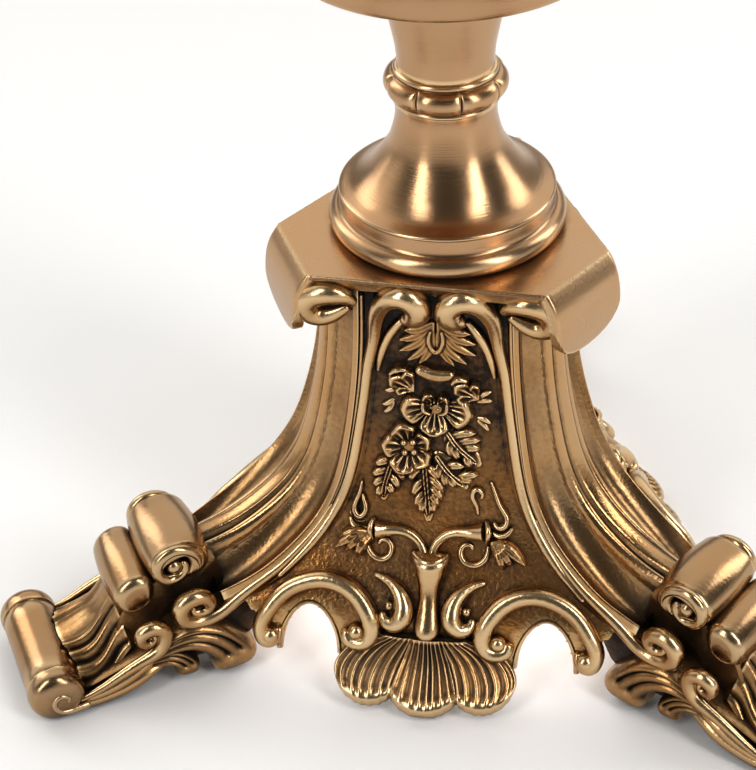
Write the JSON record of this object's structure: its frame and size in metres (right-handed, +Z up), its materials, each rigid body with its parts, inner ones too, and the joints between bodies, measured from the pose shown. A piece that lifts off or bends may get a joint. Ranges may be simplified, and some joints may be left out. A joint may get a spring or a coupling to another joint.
{
  "type": "candle holder",
  "caption": "Cast antique-brass candle holder: three scrolled legs with shells and flower panels, turned bell stem, lift-off drip pan and candle spike.",
  "frame": {"origin": "on the axis of the stem at the floor", "axes": "+Z up along the stem; one flower panel faces -Y; one leg points to +Y"},
  "size_m": [0.2656, 0.23, 0.2715],
  "materials": {
    "cast_brass": "antique cast, dark in the recesses, worn bright on the ridges",
    "satin_brass": "turned and satin brushed",
    "steel": "plain",
    "iron": "as cast"
  },
  "bodies": {
    "base": {"cap_plate": "satin_brass", "bell_foot": "satin_brass", "collar_ring": "satin_brass", "neck": "satin_brass", "pricket": "satin_brass", "tie_rod": "steel", "rod_washer": "steel", "rod_nut": "steel", "clamp_spider": "iron", "leg_1": "cast_brass", "leg_2": "cast_brass", "leg_3": "cast_brass", "toe_barrel_1": "cast_brass", "toe_barrel_2": "cast_brass", "toe_barrel_3": "cast_brass", "side_panel_1": "cast_brass", "side_panel_2": "cast_brass", "side_panel_3": "cast_brass", "flower_spray_1": "cast_brass", "flower_spray_2": "cast_brass", "flower_spray_3": "cast_brass", "shell_1": "cast_brass", "shell_2": "cast_brass", "shell_3": "cast_brass", "toe_pins": "cast_brass", "panel_screws": "steel", "shell_rivets": "cast_brass", "spray_pins": "cast_brass"},
    "pan": {"drip_pan": "satin_brass"}
  },
  "joints": [
    {"name": "pan_lift", "type": "slide", "parent": "base", "child": "pan", "axis": [0, 0, 1], "range_m": [0, 0.07]}
  ]
}
